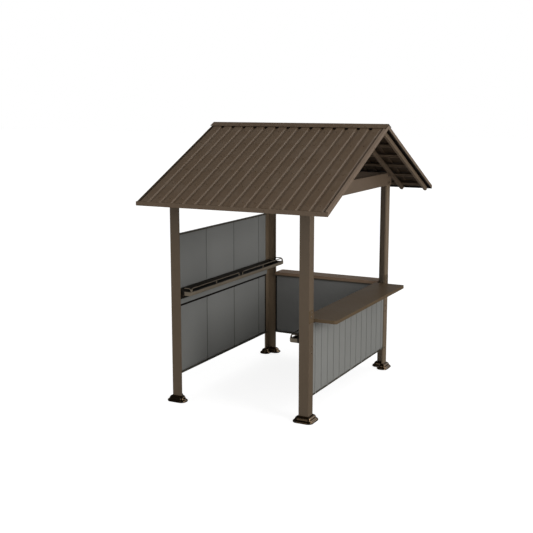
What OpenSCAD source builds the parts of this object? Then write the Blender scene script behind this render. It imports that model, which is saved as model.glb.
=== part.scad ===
// Grill gazebo: four folded corner posts, a steep grooved gable roof shifted over the bar side,
// a tall wind wall, two low walls with counters, and two hanging racks with guard rails.
// X runs along the ridge, Y from the open front to the back, Z up. Origin on the ground,
// in the middle of the post rectangle.

/* [Posts] */
// Width over the posts, along the ridge
post_span_x = 1400; // [1200:10:1800]
// Depth over the posts, front to back
post_span_y = 1982; // [1800:10:2400]
// Leg of the folded corner post
post_leg = 94; // [80:1:110]
// Steel thickness of the posts
post_t = 3; // [2:0.5:4]
// Return lip at the end of each leg
post_lip = 14; // [10:1:20]
// Length of the arms of the L-shaped foot plate
foot_w = 150; // [140:1:160]
// Thickness of the foot plate
foot_t = 6; // [5:1:8]
// Spacing of the anchor holes
anchor_spacing = 116; // [114:1:120]
// Diameter of the anchor holes
anchor_d = 12; // [8:1:12]

/* [Base covers] */
// Reach of the flared cover past the post
cover_reach = 51; // [50:1:56]
// Height of the cover
cover_h = 56; // [45:1:80]
// Corner radius of the cover at the ground
cover_r = 50; // [49:1:51]
// Wall thickness of the cover
cover_t = 3; // [2:0.5:4]

/* [Roof] */
// Height of the top of the ridge cap
ridge_h = 2577; // [2400:5:2900]
// Reach of the roof past the posts on the bar side
bar_overhang = 327.5; // [150:0.5:450]
// Reach of the roof past the posts on the tall wall's side
wall_overhang = 105.5; // [70:0.5:200]
// Reach of the eaves past the posts, front and back
eave_overhang = 379; // [300:1:500]
// Slope of the roof in degrees
roof_pitch = 25.5; // [22:0.5:28]
// Flats of the roof sheets, from the groove at one edge to the groove at the other
flat_count = 15; // [12:1:18]
// Depth of the grooves in the roof sheets
groove_h = 12; // [8:0.5:16]
// Width of a groove at the top
groove_w = 46; // [40:1:52]
// Width of a groove at its floor
groove_base = 30; // [26:1:32]
// Thickness of the roofing sheet
sheet_t = 1.5; // [1:0.5:2]
// Width of a ridge cap wing, down the slope
cap_w = 78; // [60:1:100]
// Height of the ridge cap over the sheets
cap_lift = 5; // [3:0.5:8]
// Depth of the gable edge trim, square to the slope
rake_h = 36; // [36:1:50]
// Width of the slanted top of the edge trim, on the bar side
rake_top_bar = 24; // [20:1:36]
// Width of the slanted top of the edge trim, on the tall wall's side
rake_top_wall = 14; // [10:1:20]
// Fall of the slanted top of the edge trims
rake_fall = 6; // [4:1:9]
// Height of the eave trim
eave_h = 38; // [26:1:44]
// Thickness of the trims
trim_t = 2; // [1:0.5:3]

/* [Roof frame] */
// Depth of the rafters, square to the slope
rafter_h = 40; // [36:1:50]
// Width of the rafters
rafter_w = 25; // [20:1:30]
// Wall of the rafter channels
rafter_t = 2; // [2:0.5:3]
// Distance of the outer rafter from the gable edge
fly_inset = 44; // [30:1:60]
// Length of the pointed tail of a rafter
tail_cut = 40; // [20:1:60]
// Distance of the front rafters' tails from the eave trim
front_tail_gap = 60; // [0:5:120]
// Purlins on each slope
purlin_count = 6; // [4:1:6]
// Height of the purlins
purlin_h = 20; // [16:1:24]
// Width of the purlins over their flanges
purlin_w = 60; // [50:1:70]
// Depth of the tie beams and eave beams
beam_depth = 124; // [100:1:130]
// Width of the beam flanges
beam_flange = 30; // [20:1:40]
// Steel thickness of the beams
beam_t = 3; // [2:0.5:4]
// Length of the beam tab past the corner post
beam_tab = 28; // [10:1:30]

/* [Walls] */
// Height of the underside of the tall wall and the back wall
wall_bottom = 238; // [150:1:300]
// Height of the underside of the bar wall
bar_wall_bottom = 222; // [150:1:300]
// Height of the top of the tall wall
wall_top = 1575; // [1400:5:1700]
// Depth of the wall rails
rail_d = 25; // [20:1:30]
// Depth of the rail that carries the rack under the bar
rack_rail_d = 16; // [10:1:20]
// Height of the top and bottom rails
rail_h = 14; // [12:1:40]
// Steel thickness of the rails
rail_t = 2; // [1.5:0.5:3]
// Height of the underside of the middle rail
mid_rail_z = 907; // [850:1:950]
// Height of the middle rail
mid_rail_h = 105; // [80:1:120]
// Spacing of the wall ribs
wall_rib_pitch = 138.9; // [120:0.1:160]
// Height of the wall ribs
wall_rib_h = 6; // [4:0.5:9]
// Width of a wall rib at its foot
wall_rib_w = 16; // [14:1:30]
// Width of a wall rib at its top
wall_rib_top = 12; // [5:1:13]
// Thickness of the wall sheets
wall_t = 1.5; // [1:0.5:2]

/* [Counters] */
// Height of the counter tops
counter_h = 920; // [880:1:960]
// Depth of the folded edge of the counters
counter_t = 30; // [24:1:40]
// Reach of the bar counter past the posts
bar_out = 214; // [150:1:260]
// Reach of the back counter past the posts
back_out = 155; // [100:1:200]
// Reach of the bar counter inside the posts
bar_in = 104; // [40:1:140]
// Reach of the back counter inside the posts
back_in = 32; // [30:1:90]
// Radius of the counters' outer corners
counter_r = 24; // [16:1:40]
// Sheet thickness of the counters
counter_sheet = 2; // [1.5:0.5:3]
// Stiffeners under each counter
stiffener_count = 4; // [3:1:6]
// Height of the end tabs over the counters
tab_h = 85; // [50:1:100]

/* [Racks] */
// Depth of the rack trays from the rail they hang on
rack_depth = 170; // [120:1:180]
// Height of the floor of the rack on the tall wall
rack_z = 1014; // [1013:1:1100]
// Height of the floor of the rack under the bar
bar_rack_z = 702; // [690:1:760]
// Height of the front lip of a tray
rack_lip = 36; // [25:1:50]
// Diameter of the guard rails
guard_d = 10; // [8:1:12]
// Height of the guard rails over the tray lip
guard_h = 40; // [34:1:50]
// Width of the loops at the ends of the racks
guard_loop_w = 106; // [80:1:110]
// Gap between the two long guard rails, in the middle of a rack
guard_gap = 64; // [20:1:100]
// Gap between the tray's ends and the outer faces of the posts
rack_end_gap = 32; // [20:1:50]

/* [Hidden] */
$fn = 48;
seat = 0.3;
post_x = post_span_x / 2;
post_y = post_span_y / 2;
bay_x = post_x - post_leg;
bay_y = post_y - post_leg;

sin_p = sin(roof_pitch);
cos_p = cos(roof_pitch);
tan_p = tan(roof_pitch);
cap_t = sheet_t;
apex_z = ridge_h - (cap_lift + cap_t) / cos_p;
roof_x0 = -post_x - wall_overhang;
roof_x1 = post_x + bar_overhang;
roof_len = roof_x1 - roof_x0;
eave_y = post_y + eave_overhang;
slope_len = eave_y / cos_p;
ridge_gap = 16;
eave_lip = 12;
rake_return = 16;
eave_bottom = apex_z - tan_p * eave_y - eave_h;
purlin_base = -groove_h - sheet_t - purlin_h;
rake_low = -max(rake_h, trim_t - purlin_base);
first_purlin = cap_w + purlin_w * 1.45;
last_purlin = slope_len - purlin_w * 1.3;
ridge_wing = first_purlin - purlin_w;
back_tail_y = eave_y - eave_lip - trim_t;
front_tail_y = back_tail_y - front_tail_gap;
beam_top = apex_z - tan_p * (post_y + beam_t) + purlin_base / cos_p;
beam_bottom = beam_top - beam_depth;

wall_in = -post_t - rail_d;
sheet_in = -post_t - wall_rib_h - wall_t;
mid_rail_top = mid_rail_z + mid_rail_h;
counter_base = counter_h - counter_t;
corner_gap = 2;
rim = guard_d + 2;
rack_reach = post_y - rack_end_gap;

steel = [0.33, 0.28, 0.23];
bronze = [0.20, 0.15, 0.10];
grey = [0.45, 0.46, 0.47];

// Point (Y, Z) on the back slope, s down the slope and n square to it, from the plane of the flats
function slope_point(s, n) = [s * cos_p + n * sin_p, apex_z - s * sin_p + n * cos_p];

// Point (Y, Z) of a plane n above the flats, at a distance y from the ridge
function plumb_point(y, n) = [y, apex_z - tan_p * y + n / cos_p];

function reversed(list) = [for (i = [len(list) - 1 : -1 : 0]) list[i]];

// Corners of ribs, or of grooves where the height is negative, in order along X
function rib_points(at, foot, top, height, base) = [
    for (x = at) each [
        [x - foot / 2, base],
        [x - top / 2, base + height],
        [x + top / 2, base + height],
        [x + foot / 2, base]
    ]
];

// Places of the roof grooves: one at each gable edge, and the flats evenly between them
function groove_places() = let (
    first = roof_x0 + groove_w / 2,
    pitch = (roof_x1 - groove_base - first) / flat_count
) [for (i = [0 : flat_count]) first + i * pitch];

// Outline of a roof sheet, which ends at both gables on the floor of a groove
function grooved_outline(x0, x1, at) = let (
    first = at[0],
    last = at[len(at) - 1],
    between = [for (i = [1 : len(at) - 2]) at[i]],
    w = groove_w / 2,
    b = groove_base / 2,
    d = sheet_t / 2,
    low = -groove_h
) concat(
    [[x0, low], [first + b, low], [first + w, 0]],
    rib_points(between, 2 * w, 2 * b, low, 0),
    [[last - w, 0], [last - b, low], [x1, low]],
    [[x1, low - sheet_t], [last - b - d, low - sheet_t], [last - w - d, -sheet_t]],
    reversed(rib_points(between, 2 * (w + d), 2 * (b + d), low, -sheet_t)),
    [[first + w + d, -sheet_t], [first + b + d, low - sheet_t], [x0, low - sheet_t]]
);

// Places of the ribs of a wall, evenly about its middle
function wall_rib_places(reach) = let (
    count = floor((2 * reach - wall_rib_w - 2) / wall_rib_pitch)
) [for (i = [0 : count]) (i - count / 2) * wall_rib_pitch];

// Extrudes an outline drawn in (Y, Z) from x0 to x1
module along_x(x0, x1) {
    translate([x0, 0, 0])
        rotate([90, 0, 90])
            linear_extrude(x1 - x0)
                children();
}

// Extrudes an outline drawn in (X, Z) from y0 to y1
module along_y(y0, y1) {
    translate([0, y1, 0])
        rotate([90, 0, 0])
            linear_extrude(y1 - y0)
                children();
}

// Back slope: Y runs down it, Z is square to it, and zero is the plane of the flats
module on_slope() {
    translate([0, 0, apex_z])
        rotate([-roof_pitch, 0, 0])
            children();
}

module front_half() {
    mirror([0, 1, 0])
        children();
}

// Moves a corner piece, drawn for the front left corner, to the corner on sides sx and sy
module at_corner(sx, sy) {
    mirror([sx > 0 ? 1 : 0, 0, 0])
        mirror([0, sy > 0 ? 1 : 0, 0])
            translate([-post_x, -post_y, 0])
                children();
}

// Sides of the frame: X is zero on the outer faces of the posts, Y runs along the side
module on_bar_side() {
    translate([post_x, 0, 0])
        children();
}

module on_wall_side() {
    mirror([1, 0, 0])
        on_bar_side()
            children();
}

module on_back_side() {
    rotate(90)
        translate([post_y, 0, 0])
            children();
}

module on_front_side() {
    front_half()
        on_back_side()
            children();
}

// Folded corner post with its outer edge on the origin and its legs along +X and +Y, on a foot
// plate with an anchor hole at its corner and at the end of each arm
module post() {
    middle = post_leg / 2;
    arm = foot_w - post_leg + post_lip;
    color(steel) {
        translate([0, 0, foot_t])
            linear_extrude(beam_top - foot_t)
                polygon([
                    [0, 0], [post_leg, 0], [post_leg, post_lip], [post_leg - post_t, post_lip],
                    [post_leg - post_t, post_t], [post_t, post_t], [post_t, post_leg - post_t],
                    [post_lip, post_leg - post_t], [post_lip, post_leg], [0, post_leg]
                ]);
        translate([middle, middle, 0])
            difference() {
                translate([-foot_w / 2, -foot_w / 2, 0])
                    for (size = [[foot_w, arm, foot_t], [arm, foot_w, foot_t]])
                        cube(size);
                for (at = [[-1, -1], [1, -1], [-1, 1]])
                    translate([at[0] * anchor_spacing / 2, at[1] * anchor_spacing / 2, -1])
                        cylinder(d = anchor_d, h = foot_t + 2);
            }
    }
}

// Flared moulding of the base cover, as (reach, height), inset by the wall for its hollow
function cover_profile(inset) = let (r = cover_r - inset, h = cover_h - inset) [
    [0, -inset], [r - 4 - inset, -inset], [r - 1, 3], [r, 8], [r - 1.5, 13], [r - 6, 18], [r - 14, 23],
    [r - 18.5, 27], [r - 20, 31], [r - 21, 36], [r - 24, 42], [r - 30, h - 8],
    [r - 39, h - 3], [r - 46, h], [0, h]
];

// A round corner of the moulding, turned from the corner between +X and +Y
module cover_corner(turn, inset) {
    rotate(turn)
        rotate_extrude(angle = 90)
            polygon(cover_profile(inset));
}

// The moulding swept round an L that follows both legs of the post
module cover_form(inset) {
    outer = cover_r - cover_reach;
    inner = post_lip - outer;
    end = post_leg - outer;
    translate([outer, outer, 0])
        cover_corner(180, inset);
    for (leg = [0, 1])
        mirror([leg, -leg, 0]) {
            translate([end, outer, 0])
                cover_corner(-90, inset);
            translate([end, inner, 0])
                cover_corner(0, inset);
            translate([end, 0, 0])
                along_y(outer, inner)
                    polygon(cover_profile(inset));
            translate([0, inner, 0])
                along_x(inner, end)
                    polygon(cover_profile(inset));
            translate([0, outer, 0])
                mirror([0, 1, 0])
                    along_x(outer, end)
                        polygon(cover_profile(inset));
            translate([outer, outer, -inset])
                cube([end - outer, inner - outer, cover_h]);
        }
}

// Base cover for the post at the same corner, open for the post's L section
module cover() {
    gap = 0.5;
    slot = post_leg + 2 * gap;
    color(bronze)
        difference() {
            cover_form(0);
            cover_form(cover_t);
            translate([-gap, -gap, cover_h - 2 * cover_t])
                difference() {
                    cube([slot, slot, 4 * cover_t]);
                    translate([post_lip + 2 * gap, post_lip + 2 * gap, -1])
                        cube([slot, slot, 4 * cover_t + 2]);
                }
        }
}

// Beam on the outer faces of the posts: a web, and flanges that stop short of the posts
module beam(web_reach, flange_reach) {
    color(steel) {
        along_y(-web_reach, web_reach)
            translate([0, beam_bottom])
                square([beam_t, beam_depth]);
        along_y(-flange_reach, flange_reach)
            for (z = [beam_bottom, beam_top - beam_t])
                translate([-beam_flange, z])
                    square([beam_flange + beam_t, beam_t]);
    }
}

module tie_beam() {
    beam(post_y + beam_tab, bay_y - 1);
}

module eave_beam() {
    beam(post_x, bay_x - 1);
}

// Side of a rafter with its pointed tail at y, drawn in by a wall thickness for its hollow
function rafter_outline(y, wall) = [
    plumb_point(wall, purlin_base - wall),
    plumb_point(y - 2 * wall, purlin_base - wall),
    plumb_point(y - tail_cut - 2 * wall, purlin_base - rafter_h + wall),
    plumb_point(wall, purlin_base - rafter_h + wall)
];

// Rafter of the back slope: a channel of the rafter's width that ends at x1, with its web there
module rafter(x1, tail_y) {
    x0 = x1 - rafter_w;
    color(steel)
        difference() {
            along_x(x0, x1)
                polygon(rafter_outline(tail_y, 0));
            along_x(x0 - 1, x1 - rafter_t)
                polygon(rafter_outline(tail_y, rafter_t));
        }
}

module truss_rafter(tail_y) {
    rafter(post_x + beam_t + rafter_w, tail_y);
}

module fly_rafter(tail_y) {
    rafter(roof_x1 - fly_inset, tail_y);
}

// Bent plate along the ridge, from n to n + t above the plane of the flats, in (Y, Z)
module ridge_outline(wing, n, t) {
    low = slope_point(wing, n);
    high = slope_point(wing, n + t);
    polygon([
        plumb_point(0, n + t), high, low, plumb_point(0, n), [-low[0], low[1]], [-high[0], high[1]]
    ]);
}

module ridge_plate() {
    color(steel)
        along_x(-post_x - beam_t - rafter_w, roof_x1 - fly_inset)
            ridge_outline(ridge_wing, purlin_base, beam_t);
}

// Hat section of a purlin in (Y, Z), with its crown up
module hat_outline(width, height, t) {
    crown = width * 0.2;
    knee = crown + t;
    foot = width / 2;
    right = [
        [foot, 0], [foot, t], [knee + t, t], [knee, height]
    ];
    under = [
        [crown, height - t], [knee, 0]
    ];
    polygon(concat(
        right,
        [for (p = reversed(right)) [-p[0], p[1]]],
        [for (p = reversed(under)) [-p[0], p[1]]],
        under
    ));
}

module purlins() {
    step = (last_purlin - first_purlin) / (purlin_count - 1);
    color(steel)
        on_slope()
            for (i = [0 : purlin_count - 1])
                translate([0, first_purlin + i * step, purlin_base])
                    along_x(roof_x0 + trim_t, roof_x1 - trim_t)
                        hat_outline(purlin_w, purlin_h, rafter_t);
}

module roof_sheet() {
    color(steel)
        on_slope()
            along_y(ridge_gap, slope_len - 2 * trim_t)
                polygon(grooved_outline(roof_x0 + trim_t, roof_x1 - trim_t, groove_places()));
}

// Ridge cap, held over the flats by a closure strip set back from the edge of each wing
module ridge_cap() {
    at = groove_places();
    x0 = at[0] + groove_w / 2;
    x1 = at[len(at) - 1] - groove_w / 2;
    set_back = 24;
    color(steel) {
        along_x(roof_x0, roof_x1)
            ridge_outline(cap_w, cap_lift, cap_t);
        for (side = [0, 1])
            mirror([0, side, 0])
                on_slope()
                    translate([x0, cap_w - set_back, 0])
                        cube([x1 - x0, 2 * cap_t, cap_lift + cap_t / 2]);
    }
}

// Edge trim of a gable, for the bar side: a top at a level over the flats that falls to the
// edge, an outer face from the ridge to the eave, and a return under the purlins
module edge_trim(x1, top, level) {
    cap_y = slope_point(cap_w + seat, 0)[0];
    end_y = eave_y - trim_t;
    crest = top * 0.15;
    level_y = (apex_z + rake_low / cos_p - eave_bottom) / tan_p;
    edge = level + trim_t - rake_fall;
    color(steel)
        for (side = [0, 1])
            mirror([0, side, 0]) {
                along_x(x1 - trim_t, x1)
                    polygon([
                        plumb_point(seat / 2, edge), plumb_point(end_y, edge), [end_y, eave_bottom],
                        [level_y, eave_bottom], plumb_point(seat / 2, rake_low)
                    ]);
                along_x(x1 - rake_return, x1)
                    polygon([
                        plumb_point(seat / 2, rake_low + trim_t),
                        plumb_point(level_y - 2 * trim_t, rake_low + trim_t),
                        plumb_point(level_y - 2 * trim_t, rake_low),
                        plumb_point(seat / 2, rake_low)
                    ]);
                on_slope()
                    along_y(cap_w + seat, slope_len - 3 * trim_t)
                        translate([x1, level])
                            polygon([
                                [-top, 0], [-top, trim_t], [crest - top, trim_t],
                                [0, trim_t - rake_fall], [-trim_t, -rake_fall], [crest - top, 0]
                            ]);
            }
}

module edge_trim_bar() {
    edge_trim(roof_x1, rake_top_bar, 0);
}

// The trim on the tall wall's side comes down to the floor of the first groove
module edge_trim_wall() {
    mirror([1, 0, 0])
        edge_trim(-roof_x0, rake_top_wall, rake_fall - groove_h);
}

// Eave trim: a face over the ends of the edge trims, and a return between them
module eave_trim() {
    color(steel) {
        along_x(roof_x0, roof_x1)
            translate([eave_y - trim_t, eave_bottom])
                square([trim_t, eave_h]);
        along_x(roof_x0 + trim_t, roof_x1 - trim_t)
            translate([eave_y - eave_lip, eave_bottom])
                square([eave_lip, trim_t]);
    }
}

// Hollow rail of a wall, between the lips of two posts
module rail(x0, x1, z, height, reach) {
    color(steel)
        along_y(-reach, reach)
            difference() {
                translate([x0, z])
                    square([x1 - x0, height]);
                translate([x0 + rail_t, z + rail_t])
                    square([x1 - x0 - 2 * rail_t, height - 2 * rail_t]);
            }
}

module edge_rail(z, reach) {
    rail(wall_in, -post_t, z, rail_h, reach);
}

// Panel between two rails, flat inside and ribbed outside
module wall_sheet(z0, z1, reach) {
    outline = concat(
        [[-reach, -wall_t], [-reach, 0]],
        rib_points(wall_rib_places(reach), wall_rib_w, wall_rib_top, wall_rib_h, 0),
        [[reach, 0], [reach, -wall_t]]
    );
    color(grey)
        translate([-post_t - wall_rib_h, 0, z0])
            linear_extrude(z1 - z0)
                polygon([for (p = outline) [p[1], p[0]]]);
}

module mid_rail() {
    rail(wall_in, -post_t, mid_rail_z, mid_rail_h, bay_y);
}

// Rail inside the bar wall's sheet, level with the hanger of the rack
module rack_rail() {
    rail(sheet_in - rack_rail_d, sheet_in, bar_rack_z - mid_rail_h, mid_rail_h, bay_y);
}

module upper_sheet() {
    wall_sheet(mid_rail_top, wall_top - rail_h, bay_y);
}

module lower_sheet() {
    wall_sheet(wall_bottom + rail_h, mid_rail_z, bay_y);
}

module low_sheet(bottom, reach) {
    wall_sheet(bottom + rail_h, counter_base - rail_h, reach);
}

// Top of a counter from y0 to y1, drawn in by a margin, with its outer corners rounded
module counter_shape(inner, out, y0, y1, margin) {
    r = counter_r - margin;
    x0 = margin - inner;
    lo = y0 + margin;
    hi = y1 - margin;
    translate([x0, lo])
        square([out - counter_r - x0, hi - lo]);
    translate([x0, lo + r])
        square([out - margin - x0, hi - lo - 2 * r]);
    for (y = [lo + r, hi - r])
        translate([out - counter_r, y])
            circle(r);
}

// Tab at the end of a counter, from y on along Y, folded up against the outer face of a post
module end_tab(y) {
    t = counter_sheet;
    top = counter_h + tab_h;
    corner = 12;
    along_x(0, t)
        polygon([
            [y - t, counter_base], [y + post_leg, counter_base], [y + post_leg, top - corner],
            [y + post_leg - corner, top], [y, top], [y, counter_h], [y - t, counter_h]
        ]);
}

// Folded counter pan over the rail of a low wall, between two posts, with a tab on each post
// and channel stiffeners that rest on the rail
module counter(inner, out, reach) {
    t = counter_sheet;
    lip = 14;
    bar_w = 40;
    step = 2 * reach / stiffener_count;
    color(steel) {
        translate([0, 0, counter_base])
            difference() {
                linear_extrude(counter_t)
                    counter_shape(inner, out, -reach, reach, 0);
                translate([0, 0, t])
                    linear_extrude(counter_t - 2 * t)
                        counter_shape(inner, out, -reach, reach, t);
                translate([0, 0, -t])
                    linear_extrude(3 * t)
                        counter_shape(inner, out, -reach, reach, lip);
            }
        for (side = [0, 1])
            mirror([0, side, 0])
                end_tab(reach);
        for (i = [0 : stiffener_count - 1])
            translate([t - inner, (i + 0.5) * step - reach - bar_w / 2, counter_base])
                difference() {
                    cube([inner + out - 2 * t, bar_w, counter_t - t]);
                    translate([-1, t, t])
                        cube([inner + out, bar_w - 2 * t, counter_t]);
                }
    }
}

module bar_counter() {
    counter(bar_in, bar_out, bay_y - corner_gap);
}

module back_counter() {
    counter(back_in, back_out, bay_x - corner_gap);
}

// Quarter bend of a guard rail, from the top of a post at the origin, up and over along +Y
module bend(r) {
    translate([0, r, 0])
        rotate([90, 0, 90])
            rotate(90)
                rotate_extrude(angle = 90)
                    translate([r, 0])
                        circle(d = guard_d);
}

// Hairpin guard rail along Y from y0 to y1 with its feet at z, and a post in the middle if long
module hairpin(y0, y1, z, r, middle) {
    top = guard_h - guard_d / 2;
    for (end = [0, 1])
        translate([0, end == 0 ? y0 : y1, z])
            mirror([0, end, 0]) {
                translate([0, 0, -1])
                    cylinder(d = guard_d, h = top - r + 1);
                translate([0, 0, top - r])
                    bend(r);
            }
    translate([0, y0 + r, z + top])
        rotate([-90, 0, 0])
            cylinder(d = guard_d, h = y1 - y0 - 2 * r);
    if (middle)
        translate([0, (y0 + y1) / 2, z - 1])
            cylinder(d = guard_d, h = top + 1);
}

// Tray hung on a rail: back plate, floor, rolled front with a rim, ends, and guard rails
module rack(back, z) {
    t = rail_t;
    r = 12;
    front = back - rack_depth;
    top = z + rack_lip;
    hang = 60;
    guard_x = front + rim / 2;
    arc = [for (a = [270 : -15 : 180]) [front + r + r * cos(a), z + r + r * sin(a)]];
    inner = [for (a = [180 : 15 : 270]) [front + r + (r - t) * cos(a), z + r + (r - t) * sin(a)]];
    color(steel) {
        along_y(-rack_reach, rack_reach)
            polygon(concat(
                [[back, z - hang], [back, top + t * 5], [back - t, top + t * 5], [back - t, z + t]],
                reversed(inner),
                [[front + t, top - t], [front + rim, top - t], [front + rim, top], [front, top]],
                reversed(arc),
                [[back - t, z], [back - t, z - hang]]
            ));
        for (end = [0, 1])
            mirror([0, end, 0]) {
                along_y(rack_reach - t, rack_reach)
                    polygon(concat(arc, [[front, top], [back - t / 2, top], [back - t / 2, z]]));
                along_y(rack_reach - rim, rack_reach)
                    translate([front, top - t])
                        square([rack_depth - t / 2, t]);
                translate([guard_x, 0, 0])
                    hairpin(
                        (guard_gap + guard_d) / 2, rack_reach - rim - guard_d, top, guard_d * 1.8, true
                    );
                translate([guard_x, rack_reach - rim / 2, 0])
                    rotate(-90)
                        hairpin(0, guard_loop_w - guard_d, top, guard_d * 2.6, false);
            }
    }
}

at_corner(-1, -1) post();  // post_front_left
at_corner(1, -1) post();  // post_front_right
at_corner(-1, 1) post();  // post_back_left
at_corner(1, 1) post();  // post_back_right
at_corner(-1, -1) cover();  // cover_front_left
at_corner(1, -1) cover();  // cover_front_right
at_corner(-1, 1) cover();  // cover_back_left
at_corner(1, 1) cover();  // cover_back_right
on_wall_side() tie_beam();  // tie_beam_left
on_bar_side() tie_beam();  // tie_beam_right
on_front_side() eave_beam();  // eave_beam_front
on_back_side() eave_beam();  // eave_beam_back
mirror([1, 0, 0]) front_half() truss_rafter(front_tail_y);  // rafter_left_front
mirror([1, 0, 0]) truss_rafter(back_tail_y);  // rafter_left_back
front_half() truss_rafter(front_tail_y);  // rafter_right_front
truss_rafter(back_tail_y);  // rafter_right_back
front_half() fly_rafter(front_tail_y);  // fly_rafter_front
fly_rafter(back_tail_y);  // fly_rafter_back
ridge_plate();
front_half() purlins();  // purlins_front
purlins();  // purlins_back
front_half() roof_sheet();  // roof_sheet_front
roof_sheet();  // roof_sheet_back
ridge_cap();
edge_trim_wall();  // edge_trim_left
edge_trim_bar();  // edge_trim_right
front_half() eave_trim();  // eave_trim_front
eave_trim();  // eave_trim_back
on_wall_side() edge_rail(wall_top - rail_h, bay_y);  // tall_wall_top_rail
on_wall_side() mid_rail();  // tall_wall_mid_rail
on_wall_side() edge_rail(wall_bottom, bay_y);  // tall_wall_bottom_rail
on_wall_side() upper_sheet();  // tall_wall_upper_sheet
on_wall_side() lower_sheet();  // tall_wall_lower_sheet
on_back_side() edge_rail(counter_base - rail_h, bay_x);  // back_wall_top_rail
on_back_side() edge_rail(wall_bottom, bay_x);  // back_wall_bottom_rail
on_back_side() low_sheet(wall_bottom, bay_x);  // back_wall_sheet
on_bar_side() edge_rail(counter_base - rail_h, bay_y);  // bar_wall_top_rail
on_bar_side() rack_rail();  // bar_wall_rack_rail
on_bar_side() edge_rail(bar_wall_bottom, bay_y);  // bar_wall_bottom_rail
on_bar_side() low_sheet(bar_wall_bottom, bay_y);  // bar_wall_sheet
on_bar_side() bar_counter();
on_back_side() back_counter();
on_wall_side() rack(wall_in, rack_z);  // tall_wall_rack
on_bar_side() rack(sheet_in - rack_rail_d, bar_rack_z);  // bar_rack
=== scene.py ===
import bpy, bmesh, math
from mathutils import Matrix, Vector


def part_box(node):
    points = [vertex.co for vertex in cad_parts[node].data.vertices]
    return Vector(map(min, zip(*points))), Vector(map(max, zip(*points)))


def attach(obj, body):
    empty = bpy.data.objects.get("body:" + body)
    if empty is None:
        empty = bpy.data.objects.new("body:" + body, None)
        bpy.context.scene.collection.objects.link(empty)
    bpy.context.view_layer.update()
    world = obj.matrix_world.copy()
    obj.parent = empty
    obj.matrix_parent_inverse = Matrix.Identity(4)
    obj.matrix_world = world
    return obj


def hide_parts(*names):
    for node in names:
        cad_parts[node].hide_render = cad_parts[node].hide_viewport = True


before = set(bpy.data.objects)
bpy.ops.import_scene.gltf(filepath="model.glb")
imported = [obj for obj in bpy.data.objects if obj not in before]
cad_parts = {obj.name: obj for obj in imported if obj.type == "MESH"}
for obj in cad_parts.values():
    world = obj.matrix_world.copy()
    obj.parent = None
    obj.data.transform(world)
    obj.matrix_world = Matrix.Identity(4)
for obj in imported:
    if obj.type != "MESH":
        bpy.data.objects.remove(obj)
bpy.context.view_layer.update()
print("frame loaded")

# Places that the pieces share, from the frame
sheet = 0.0015                                      # thickness of the roofing
capLift = 0.005                                     # height of the ridge cap over the flats
capWing = 0.078                                     # length of the cap down each slope
slope = math.radians(25.5)
capLow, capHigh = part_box("ridge_cap")
roofX0, roofX1 = capLow[0], capHigh[0]
apexZ = capHigh[2] - (capLift + sheet) / math.cos(slope)
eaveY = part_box("eave_trim_back")[1][1]
slopeLength = eaveY / math.cos(slope)
beamSheet = 0.003                                   # thickness of the beams, outside the posts
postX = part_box("tie_beam_right")[1][0] - beamSheet
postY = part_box("eave_beam_back")[1][1] - beamSheet
postLeg = 0.094
bayX, bayY = postX - postLeg, postY - postLeg
beamLow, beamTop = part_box("tie_beam_right")[0][2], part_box("tie_beam_right")[1][2]


# Shader groups, which give colours, values and heights only

def newGroup(name, inputs, outputs):
    tree = bpy.data.node_groups.new(name, "ShaderNodeTree")
    for label, kind, value in inputs:
        tree.interface.new_socket(label, in_out="INPUT", socket_type=kind).default_value = value
    for label, kind in outputs:
        tree.interface.new_socket(label, in_out="OUTPUT", socket_type=kind)
    return tree, tree.nodes.new("NodeGroupInput").outputs, tree.nodes.new("NodeGroupOutput").inputs


def calc(tree, kind, a, b=0.0, clamp=False):
    n = tree.nodes.new("ShaderNodeMath")
    n.operation = kind
    n.use_clamp = clamp
    for socket, value in zip(n.inputs, (a, b)):
        if isinstance(value, (int, float)):
            socket.default_value = value
        else:
            tree.links.new(value, socket)
    return n.outputs[0]


def remap(tree, value, edges):
    n = tree.nodes.new("ShaderNodeMapRange")
    n.interpolation_type = "SMOOTHSTEP"
    n.inputs["From Min"].default_value, n.inputs["From Max"].default_value = edges
    tree.links.new(value, n.inputs["Value"])
    return n.outputs[0]


def noise(tree, coords, scale, detail, rough):
    n = tree.nodes.new("ShaderNodeTexNoise")
    n.inputs["Scale"].default_value = scale
    n.inputs["Detail"].default_value = detail
    n.inputs["Roughness"].default_value = rough
    tree.links.new(coords, n.inputs["Vector"])
    return n.outputs["Fac"]


def blendColour(tree, factor, a, b):
    n = tree.nodes.new("ShaderNodeMix")
    n.data_type = "RGBA"
    for socket, value in ((n.inputs["Factor"], factor), (n.inputs["A"], a), (n.inputs["B"], b)):
        if isinstance(value, tuple):
            socket.default_value = value
        else:
            tree.links.new(value, socket)
    return n.outputs["Result"]


def scaleColour(tree, colour, gain):
    n = tree.nodes.new("ShaderNodeVectorMath")
    n.operation = "SCALE"
    tree.links.new(colour, n.inputs[0])
    tree.links.new(gain, n.inputs["Scale"])
    return n.outputs[0]


def splitAxes(tree, vector):
    n = tree.nodes.new("ShaderNodeSeparateXYZ")
    tree.links.new(vector, n.inputs[0])
    return n.outputs


def surfaceOf(tree):
    # the place on the piece, and which way its face looks
    coords = tree.nodes.new("ShaderNodeTexCoord").outputs["Object"]
    normal = tree.nodes.new("ShaderNodeNewGeometry").outputs["Normal"]
    return coords, splitAxes(tree, normal)


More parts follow.
